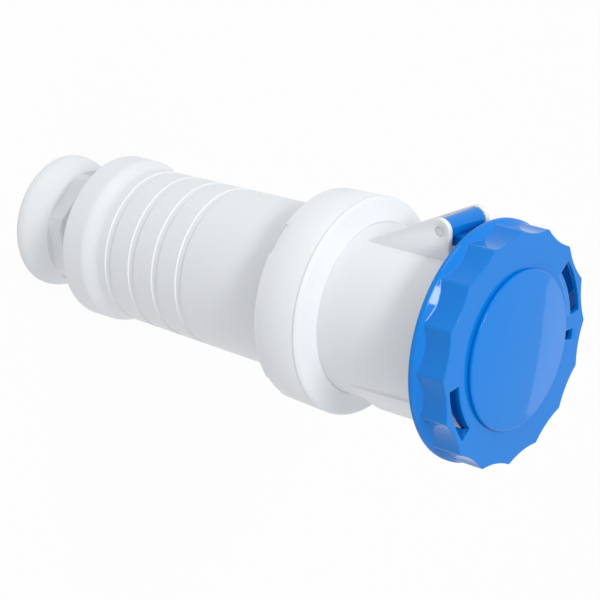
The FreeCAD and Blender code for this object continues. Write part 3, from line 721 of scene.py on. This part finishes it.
MOUTH = -0.0117
SLEEVE_BORE = 0.0436
SLEEVE_FLANGE_FRONT = -0.1042
SLEEVE_FLANGE_RADIUS = 0.0532
SLEEVE_REAR = -0.1091
REAR_BORE = 0.043
REAR_BORE_END = -0.0841
KEY_HALF_WIDTH = 0.005
KEY_FLOOR = 0.0474
KEY_END = -0.0737
PAD_CROWN_ANGLE = 17.0
PAD_FOOT_ANGLE = 40.0
PAD_FOOT_SPREAD = 6.0
PAD_REAR = -0.0801
PAD_FALL = 0.007
PAD_SUNK = 0.0006
LUG_STATIONS = (-0.0173, -0.0131)
LUG_RADII = (0.0465, 0.0545)
LUG_HALF_ANGLE = 14.0
LOCK_TURN = 45.0
EAR_EDGE = 0.0007
EAR_HOLE = 0.00252
EAR_SLOPE = 26.57
EAR_TIP_RADIUS = 0.007
EAR_FOOT = 0.0415
EAR_SIDES = (0.0179, 0.0149)


def direction(angle):
    """Unit vector with an angle's sine and cosine."""
    return Vector((math.sin(math.radians(angle)), math.cos(math.radians(angle))))


def pad_height(station, away, size):
    """Outer radius of the sleeve at an angle from the keyway's middle, its pad included."""
    forward = clamped((station - KEY_END) / (MOUTH - KEY_END))
    foot_angle = PAD_FOOT_ANGLE + PAD_FOOT_SPREAD * forward
    if away > foot_angle + 12:
        return size.sleeve_radius
    crown = direction(PAD_CROWN_ANGLE) * size.pad_radius
    foot = direction(foot_angle) * (size.sleeve_radius - 0.0002)
    along = foot - crown
    normal = Vector((along.y, -along.x))
    flank = normal.dot(crown) / normal.dot(direction(away))
    height = smooth_min(flank, size.pad_radius, 0.0004)
    # the pad's rear end falls off in a quarter round
    fall = clamped((station - PAD_REAR) / PAD_FALL)
    sunk = size.sleeve_radius - PAD_SUNK
    limit = sunk + (size.pad_radius - sunk) * math.sqrt(1 - (1 - fall) ** 2)
    return smooth_max(size.sleeve_radius, min(height, limit), 0.0008)


def sleeve(bm, size):
    """Adds the front sleeve with its flange, keyway and keyway pad."""
    outer = size.sleeve_radius
    # rows along the outside, closest where the keyway pad ends
    rows = [-0.02 - 0.004 * k for k in range(13)] + [-0.0725 - 0.0006 * k for k in range(16)]
    corners = [(MOUTH, SLEEVE_BORE, 0.0003), (MOUTH, outer, 0.0006)]
    corners += [(s, outer) for s in rows]
    corners += [(SLEEVE_FLANGE_FRONT, outer, 0.0003),
                (SLEEVE_FLANGE_FRONT, SLEEVE_FLANGE_RADIUS, 0.0003),
                (SLEEVE_REAR, SLEEVE_FLANGE_RADIUS, 0.0003), (SLEEVE_REAR, REAR_BORE),
                (REAR_BORE_END, REAR_BORE), (REAR_BORE_END, SLEEVE_BORE),
                (KEY_END - 0.0001, SLEEVE_BORE), (KEY_END, SLEEVE_BORE),
                (KEY_END + 0.0003, SLEEVE_BORE), (-0.04, SLEEVE_BORE)]
    profile = rounded(corners)
    wall_angle = math.degrees(math.asin(KEY_HALF_WIDTH / SLEEVE_BORE))
    floor_angle = math.degrees(math.atan(KEY_HALF_WIDTH / KEY_FLOOR))
    exact = [180 + side * a for side in (-1, 1) for a in (wall_angle, floor_angle)]
    angles = [a for a in even(384) if not floor_angle - 0.8 < abs(a - 180) < wall_angle + 0.7]
    angles = sorted(angles + exact)

    def place(station, radius, angle):
        away = abs(angle - 180)
        in_bore = radius < SLEEVE_BORE + 0.0006
        if in_bore and station > KEY_END - 0.00005 and away < floor_angle + 0.01:
            radius += KEY_FLOOR / math.cos(math.radians(away)) - SLEEVE_BORE
        elif radius > outer - 0.0009 and station > -0.085:
            # the mouth's rounding goes with the pad, the mouth's flat face doesn't
            weight = clamped((radius - outer + 0.0009) / 0.0002)
            radius += weight * (pad_height(station, away, size) - outer)
        return on_axis(station, radius, angle)

    turn(bm, profile, angles, place)


def inset(points, distance):
    """Closed convex outline moved inwards."""
    moved = []
    for i, p in enumerate(points):
        back = (p - points[i - 1]).normalized()
        ahead = (points[(i + 1) % len(points)] - p).normalized()
        first, second = Vector((back.y, -back.x)), Vector((ahead.y, -ahead.x))
        moved.append(p + (first + second) * distance / (1 + first.dot(second)))
    return moved


def ear(bm, side):
    """Adds a triangular hinge ear with rounded edges and the pin's hole."""
    pin = Vector((PIN_STATION, PIN_HEIGHT))
    curve = arc((PIN_STATION, PIN_HEIGHT), EAR_TIP_RADIUS, 90.0 + EAR_SLOPE, 0.0, 20)
    curve = [Vector(p) for p in curve]
    tip = curve[0]
    foot = Vector((tip.x - (tip.y - EAR_FOOT) / math.tan(math.radians(EAR_SLOPE)), EAR_FOOT))
    toe = Vector((curve[-1].x, EAR_FOOT))
    outline = [foot + (tip - foot) * k / 14 for k in range(14)] + curve
    outline += [Vector((toe.x, PIN_HEIGHT + (EAR_FOOT - PIN_HEIGHT) * k / 8)) for k in range(1, 9)]
    outline += [toe + (foot - toe) * k / 12 for k in range(1, 12)]
    rings = []
    for y, outward in zip(EAR_SIDES, (1, -1)):
        hole = []
        for radius, depth in ((EAR_HOLE, 0.0002), (EAR_HOLE + 0.0002, 0.0)):
            hole.append(([pin + (p - pin).normalized() * radius for p in outline],
                         y - outward * depth))
        loops = [(inset(outline, EAR_EDGE + 0.0002), y)]
        for k in range(6):
            a = math.radians(90 * k / 5)
            loops.append((inset(outline, EAR_EDGE * (1 - math.sin(a))),
                          y - outward * EAR_EDGE * (1 - math.cos(a))))
        rings.append(hole + loops)
    strips = rings[0] + list(reversed(rings[1]))
    grid = []
    for points, y in strips:
        grid.append([bm.verts.new(seat(p.x, side * y, p.y)) for p in points])
    for one, two in zip(grid, grid[1:] + grid[:1]):
        strip(bm, one, two)


class SOCKET_OT_housing(bpy.types.Operator):
    """Makes the front sleeve with its flange, keyway, bayonet lugs and hinge ears"""

    bl_idname = "cable_socket.housing"
    bl_label = "Socket Housing"

    def execute(self, context):
        size = context.scene.socket_body
        bm = bmesh.new()
        sleeve(bm, size)
        ear(bm, -1)
        ear(bm, 1)
        for angle in WINDOW_ANGLES:
            ring_block(bm, LUG_STATIONS, LUG_RADII, angle + LOCK_TURN, LUG_HALF_ANGLE)
        piece("socket_sleeve", bm, "body_plastic", "housing", ["socket_housing"])
        return {"FINISHED"}


class SOCKET_OT_hinge_pin(bpy.types.Operator):
    """Makes the hinge pin with rounded ends"""

    bl_idname = "cable_socket.hinge_pin"
    bl_label = "Hinge Pin"

    def execute(self, context):
        bar = [(-PIN_HALF, 0.0), (-PIN_HALF, PIN_RADIUS, 0.0006), (PIN_HALF, PIN_RADIUS, 0.0006),
               (PIN_HALF, 0.0)]
        bm = bmesh.new()
        turn(bm, rounded(bar), even(48), about_pin)
        piece("hinge_pin_bar", bm, "plated_steel", "housing", ["hinge_pin"])
        return {"FINISHED"}


# Union ring

UNION_FRONT = -0.0957
UNION_EDGE = -0.0996
UNION_REAR = -0.1288
UNION_BORE = 0.0545
UNION_LIP = 0.04724
UNION_INSIDE = -0.1041
UNION_NOTCH_DEPTH = 0.0013
UNION_NOTCH_HALF = 8.75


class SOCKET_OT_union_ring(bpy.types.Operator):
    """Makes the union ring with its coned face, fine edge line and rear notches"""

    bl_idname = "cable_socket.union_ring"
    bl_label = "Union Ring"

    def execute(self, context):
        radius = context.scene.socket_body.union_radius
        rear = radius - 0.0014
        line = UNION_EDGE - 0.0019
        corners = [
            (UNION_FRONT, UNION_LIP, 0.0002), (UNION_FRONT, UNION_LIP + 0.0008, 0.0005),
            (UNION_EDGE + 0.0004, radius - 0.0012, 0.0012),
            (UNION_EDGE - 0.0011, radius - 0.00005, 0.0014),
            (line, radius - 0.00002), (line - 0.00015, radius - 0.0002),
            (line - 0.0004, radius - 0.0002), (line - 0.00055, radius - 0.00005),
            (UNION_REAR + 0.005, rear + 0.0003), (UNION_REAR + 0.0035, rear + 0.0002),
            (UNION_REAR + 0.0018, rear + 0.0001),
            (UNION_REAR, rear, 0.0006), (UNION_REAR, UNION_BORE, 0.0003),
            (UNION_REAR + 0.0018, UNION_BORE), (UNION_INSIDE, UNION_BORE, 0.0005),
            (UNION_INSIDE, UNION_LIP, 0.0002),
        ]
        bounds = [45.0 + 90.0 * i + side * UNION_NOTCH_HALF for i in range(4) for side in (-1, 1)]
        beside = [b + (0.12 if k % 2 else -0.12) for k, b in enumerate(bounds)]
        angles = sorted(even(256, bounds) + beside)

        def place(station, r, angle):
            near = abs((angle % 90.0) - 45.0)
            if near < UNION_NOTCH_HALF + 0.05 and station < UNION_REAR + 0.002:
                station += UNION_NOTCH_DEPTH
            return on_axis(station, r, angle)

        bm = bmesh.new()
        turn(bm, rounded(corners), angles, place)
        piece("union_collar", bm, "body_plastic", "union", ["union_ring"])
        return {"FINISHED"}


# Handle

THREAD_RIDGE = 0.0006
HEAD = -0.1117
HEAD_REAR = -0.1263
HEAD_RADIUS = 0.05442
HEAD_BORE = 0.0492
CHAMBER_RADIUS = 0.0398
CHAMBER_END = -0.2765
CABLE_BORE = 0.0205
SEAL_SEAT = -0.2865
NECK_BORE = 0.024
COLLAR_FRONT = -0.268
COLLAR_REAR = -0.2825
COLLAR_RADIUS = 0.04715
HANDLE_FRONT_RADIUS = 0.0465
HANDLE_REAR_RADIUS = 0.0434
SHOULDER = -0.2565
NECK_END = -0.309
NECK_RADIUS = 0.027
GROOVE_STATIONS = (-0.2515, -0.2336, -0.2157, -0.1978)
GROOVE_WIDTH = 0.0046


def grip_radius(station):
    """Radius of the tapered grip."""
    share = (HEAD_REAR - station) / (HEAD_REAR - COLLAR_FRONT)
    return HANDLE_FRONT_RADIUS + share * (HANDLE_REAR_RADIUS - HANDLE_FRONT_RADIUS)


class SOCKET_OT_handle(bpy.types.Operator):
    """Makes the tapered handle with its grooves, rounded collar, neck and threads"""

    bl_idname = "cable_socket.handle"
    bl_label = "Handle"

    def execute(self, context):
        size = context.scene.socket_body
        core = NECK_RADIUS - THREAD_RIDGE
        head_core = HEAD_RADIUS - THREAD_RIDGE
        depth = size.groove_depth
        corners = [(HEAD, head_core, 0.0008), (HEAD_REAR, head_core, 0.0003),
                   (HEAD_REAR, grip_radius(HEAD_REAR) + 0.0015, 0.0003),
                   (HEAD_REAR - 0.0015, grip_radius(HEAD_REAR - 0.0015), 0.001)]
        for rear in reversed(GROOVE_STATIONS):
            front = rear + GROOVE_WIDTH
            corners += [(front, grip_radius(front), 0.0002),
                        (front - depth * 0.2, grip_radius(front) - depth, 0.0002),
                        (rear + depth * 0.6, grip_radius(rear) - depth, 0.0002),
                        (rear, grip_radius(rear), 0.00025)]
        # the shoulder swells to the collar along an S curve
        corners.append((SHOULDER + 0.001, grip_radius(SHOULDER)))
        steps = 24
        for k in range(steps + 1):
            t = k / steps
            lift = t * t * (3 - 2 * t)
            s = SHOULDER + (COLLAR_FRONT - SHOULDER) * t
            corners.append((s, grip_radius(s) + (COLLAR_RADIUS - grip_radius(s)) * lift))
        corners += [(COLLAR_REAR, COLLAR_RADIUS, 0.0022), (COLLAR_REAR, core, 0.0006),
                    (NECK_END, core, 0.0006), (NECK_END, NECK_BORE, 0.0004),
                    (SEAL_SEAT, NECK_BORE), (SEAL_SEAT, CABLE_BORE),
                    (CHAMBER_END, CABLE_BORE, 0.001), (CHAMBER_END, CHAMBER_RADIUS, 0.003),
                    (HEAD_REAR, CHAMBER_RADIUS, 0.0004), (HEAD_REAR + 0.0036, HEAD_BORE),
                    (HEAD, HEAD_BORE, 0.0004)]
        bm = bmesh.new()
        turn(bm, rounded(corners), even(256))
        piece("grip_handle", bm, "body_plastic", "rear", ["handle"])
        thread = thread_shape()
        seed = linked("thread_seed", bpy.data.meshes.new("thread_seed"))
        for name, radius, start, end in (
                ("neck_thread", core, NECK_END + 0.0012, COLLAR_REAR - 0.0012),
                ("union_thread", head_core, HEAD_REAR + 0.001, HEAD - 0.0014)):
            run = end - start
            mesh = thread.applied(seed, {"Turns": run / size.thread_pitch, "Radius": radius,
                                         "Length": run, "Start": RIM_Z + start,
                                         "Ridge": THREAD_RIDGE})
            dressed(linked(name, mesh), "body_plastic", "rear")
        bpy.data.objects.remove(seed)
        return {"FINISHED"}


# Gland nut

NUT_FRONT = -0.298
NUT_FLATS = -0.3075
NUT_REAR = -0.3278
BELL = -0.3253
BELL_ROUND = 0.014
BELL_MOUTH = 0.0335
THROAT_ROUND = 0.0095
NUT_BORE = 0.02708
NUT_CORNER = 0.03315
NUT_CLOCK = 17.0
WASHER_SEAT = -0.3153
PRESS_FRONT = -0.3091
PRESS_RADII = (0.0195, 0.0232)


class SOCKET_OT_gland_nut(bpy.types.Operator):
    """Makes the gland nut with its six flats and bell mouth"""

    bl_idname = "cable_socket.gland_nut"
    bl_label = "Gland Nut"

    def execute(self, context):
        size = context.scene.socket_body
        flat = size.flat_radius
        centre_r = size.bell_radius - BELL_ROUND
        reach = math.hypot(NUT_FLATS - BELL, NUT_CORNER - centre_r)
        rise = math.degrees(math.atan2(NUT_CORNER - centre_r, NUT_FLATS - BELL))
        tangent = rise + math.degrees(math.acos(BELL_ROUND / reach))
        outside = [(NUT_FRONT, NUT_BORE, 0.0003), (NUT_FRONT, NUT_CORNER, 0.001)]
        outside += [(NUT_FLATS + d, NUT_CORNER) for d in (0.0006, 0.0002, 0.00002)]
        outside += [(NUT_FLATS - 0.00002, NUT_CORNER), (NUT_FLATS - 0.0003, NUT_CORNER + 0.0001)]
        bell = arc((BELL, centre_r), BELL_ROUND, tangent, 90.0, 20)
        lip = BELL - NUT_REAR
        bell += arc((BELL, size.bell_radius - lip), lip, 90.0, 180.0, 8)[1:]
        bell += [(NUT_REAR, BELL_MOUTH + 0.0001)]
        throat = (NUT_REAR + THROAT_ROUND, BELL_MOUTH)
        bell += arc(throat, THROAT_ROUND, 180.0, 270.0, 9)[1:]
        inner, outer = PRESS_RADII
        inside = [(throat[0], inner, 0.0004), (PRESS_FRONT, inner, 0.0004),
                  (PRESS_FRONT, outer, 0.0003), (WASHER_SEAT, outer), (WASHER_SEAT, NUT_BORE)]
        profile = rounded(outside + bell + inside)

        def place(station, radius, angle):
            # only the outer wall in front of the bell follows the flats
            if station > NUT_FLATS and radius > flat - 0.0018:
                phase = (angle - NUT_CLOCK + 30.0) % 60.0 - 30.0
                limit = smooth_min(NUT_CORNER, flat / math.cos(math.radians(phase)), 0.0002)
                radius += limit - NUT_CORNER
            return on_axis(station, radius, angle)

        bm = bmesh.new()
        turn(bm, profile, even(300), place)
        piece("bell_gland_nut", bm, "body_plastic", "nut", ["gland_nut"])
        return {"FINISHED"}


# Inner pieces that keep their CAD shapes

INNER_FINISHES = {
    "body_plastic": ("sleeve_shelf",),
    "insert_plastic": ("contact_carrier", "carrier_flange", "carrier_plate", "friction_ring"),
    "contact_brass": ("phase_contact", "neutral_contact", "earth_contact", "pilot_contact"),
    "plated_steel": ("contact_springs", "terminal_screws", "carrier_screws", "plate_screws"),
    "seal_rubber": ("housing_seal", "lid_seal", "gland_seal"),
}


class SOCKET_OT_inner_finishes(bpy.types.Operator):
    """Gives the contacts, carrier, seals and screws their finishes"""

    bl_idname = "cable_socket.inner_finishes"
    bl_label = "Inner Finishes"

    def execute(self, context):
        for kind, names in INNER_FINISHES.items():
            for name in names:
                mesh = NODES[name].data
                mesh.materials.clear()
                mesh.materials.append(finish_of(kind))
        return {"FINISHED"}


# Stage

WHITE = (1.0, 1.0, 1.0, 1.0)
FLOOR_GREY = (0.62, 0.62, 0.62, 1.0)
FLOOR_WHITE_SHARE = 0.96
WORLD_LIGHT = 0.7


def seen_white(owner, lit_kind, lit_values, white_kind, white_share, output):
    """Nodes of a world or material that camera, glossy and transmission rays see as white."""
    owner.use_nodes = True
    nodes = Nodes(owner.node_tree)
    nodes.tree.nodes.clear()
    lit = nodes.node(lit_kind, **lit_values)
    white = nodes.node(white_kind, Color=WHITE)
    rays = nodes.node("ShaderNodeLightPath").outputs
    total = nodes.math("MAXIMUM", rays["Is Camera Ray"], rays["Is Glossy Ray"])
    total = nodes.math("MAXIMUM", total, rays["Is Transmission Ray"])
    mixed = nodes.node("ShaderNodeMixShader")
    part = nodes.math("MULTIPLY", total, white_share)
    for source, socket in zip((part, lit.outputs[0], white.outputs[0]), mixed.inputs):
        nodes.put(source, socket)
    nodes.node(output, Surface=mixed.outputs[0])


def aimed(name, data, where, right, up):
    """Camera or lamp at a place, with its own right and up directions."""
    obj = linked(name, data)
    right = Vector(right).normalized()
    back = right.cross(Vector(up)).normalized()
    turned = Matrix.Identity(3)
    turned.col[0], turned.col[1], turned.col[2] = right, back.cross(right), back
    obj.location = where
    obj.rotation_euler = turned.to_euler()
    return obj


def softbox(name, towards, distance, aim, size, light, up=(0.0, 0.0, 1.0)):
    """Rectangular lamp in a direction from a point that it faces.

    light is the share of a surface's own colour that the lamp alone brings out when it faces it.
    """
    towards = Vector(towards).normalized()
    lamp = bpy.data.lights.new(name, "AREA")
    lamp.shape = "RECTANGLE"
    lamp.size, lamp.size_y = size
    lamp.energy = light * (math.pi * distance) ** 2
    return aimed(name, lamp, Vector(aim) + towards * distance, Vector(up).cross(towards), up)


class SOCKET_OT_stage(bpy.types.Operator):
    """Makes the white floor, the soft lamps and the camera"""

    bl_idname = "cable_socket.stage"
    bl_label = "Stage"

    def execute(self, context):
        scene = context.scene
        scene.view_settings.view_transform = "Standard"
        world = bpy.data.worlds.new("studio")
        scene.world = world
        seen_white(world, "ShaderNodeBackground", {"Color": WHITE, "Strength": WORLD_LIGHT},
                   "ShaderNodeBackground", 1.0, "ShaderNodeOutputWorld")

        # the floor keeps a faint shadow for the camera
        material = bpy.data.materials.new("white_floor")
        seen_white(material, "ShaderNodeBsdfDiffuse", {"Color": FLOOR_GREY},
                   "ShaderNodeEmission", FLOOR_WHITE_SHARE, "ShaderNodeOutputMaterial")
        bm = bmesh.new()
        bmesh.ops.create_grid(bm, x_segments=8, y_segments=8, size=3.0)
        floor = linked("floor", mesh_from(bm, "floor"))
        floor.data.materials.append(material)

        middle = seat(-0.15, 0.0, 0.0)
        softbox("key_softbox", (-0.4, -0.3, 0.87), 1.9, middle, (0.65, 0.65), 0.9)
        softbox("side_softbox", (-0.97, -0.1, 0.2), 1.6, middle, (0.8, 0.8), 0.2)
        softbox("fill_softbox", (0.75, -0.6, 0.3), 1.6, middle, (0.8, 0.8), 0.09)
        softbox("strip_softbox", (0.335, 0.842, 0.425), 1.5, seat(0.0, 0.0, 0.0), (0.13, 0.9),
                0.013, up=(-0.9451, 0.2356, 0.2263))

        # the camera is fitted to the outlines of the photo
        lens = bpy.data.cameras.new("photo_camera")
        lens.lens = 142.0
        lens.sensor_width = 36.0
        scene.camera = aimed("photo_camera", lens, seat(0.6232, -0.95812, 0.41559),
                             (-0.0275, 0.6329, 0.7738), (-0.9451, 0.2356, -0.2263))
        return {"FINISHED"}


class SOCKET_PT_panel(bpy.types.Panel):
    """Sidebar panel that lists the pieces"""

    bl_idname = "SOCKET_PT_panel"
    bl_label = "Cable Socket"
    bl_space_type = "VIEW_3D"
    bl_region_type = "UI"
    bl_category = "Cable Socket"

    def draw(self, context):
        scene = context.scene
        for group in (scene.socket_lid, scene.socket_body, scene.socket_finishes):
            box = self.layout.box()
            for name in group.bl_rna.properties.keys():
                if name not in ("rna_type", "name"):
                    box.prop(group, name)
        for operator in OPERATORS:
            self.layout.operator(operator.bl_idname)


GROUPS = {"socket_lid": LidSizes, "socket_body": BodySizes, "socket_finishes": Finishes}
OPERATORS = (
    SOCKET_OT_stage,
    SOCKET_OT_lock_ring,
    SOCKET_OT_lid_disc,
    SOCKET_OT_housing,
    SOCKET_OT_hinge_pin,
    SOCKET_OT_union_ring,
    SOCKET_OT_handle,
    SOCKET_OT_gland_nut,
    SOCKET_OT_inner_finishes,
)


def register():
    for cls in (*GROUPS.values(), *OPERATORS, SOCKET_PT_panel):
        bpy.utils.register_class(cls)
    for name, group in GROUPS.items():
        setattr(bpy.types.Scene, name, PointerProperty(type=group))


def unregister():
    for name in GROUPS:
        delattr(bpy.types.Scene, name)
    for cls in reversed((*GROUPS.values(), *OPERATORS, SOCKET_PT_panel)):
        bpy.utils.unregister_class(cls)


def main():
    register()
    for operator in OPERATORS:
        step = getattr(bpy.ops.cable_socket, operator.bl_idname.split(".")[1])
        if step() != {"FINISHED"}:
            raise RuntimeError(operator.bl_label + " was not made")


if __name__ == "__main__":
    main()
